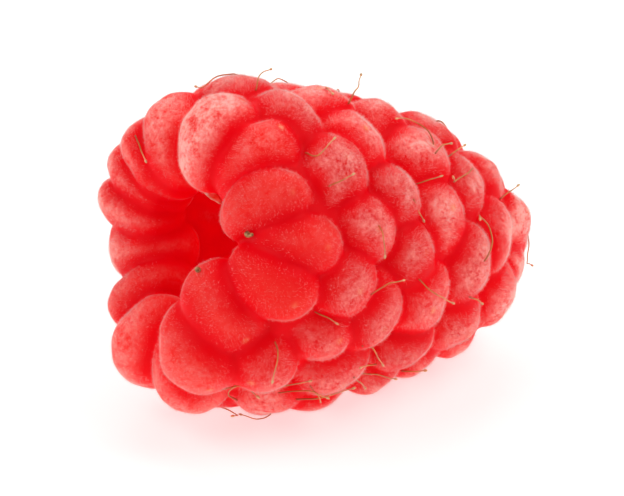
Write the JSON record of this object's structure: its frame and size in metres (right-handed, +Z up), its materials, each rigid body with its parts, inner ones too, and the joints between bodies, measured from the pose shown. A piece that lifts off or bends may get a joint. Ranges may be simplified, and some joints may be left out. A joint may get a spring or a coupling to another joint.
{
  "type": "raspberry",
  "caption": "Picked raspberry lying on its side: a tapering cup of rounded drupelets grown together round an open hollow.",
  "frame": {"origin": "the middle of the fruit's box, at the height of the surface that the fruit lies on", "axes": "+X from the open mouth towards the tip, +Z up, +Y to the left for someone who looks from the mouth to the tip"},
  "size_m": [0.029, 0.0208, 0.0209],
  "materials": {
    "fruit_skin": "downy, slightly moist fruit skin"
  },
  "bodies": {
    "root": {"raspberry": "fruit_skin"}
  },
  "joints": []
}
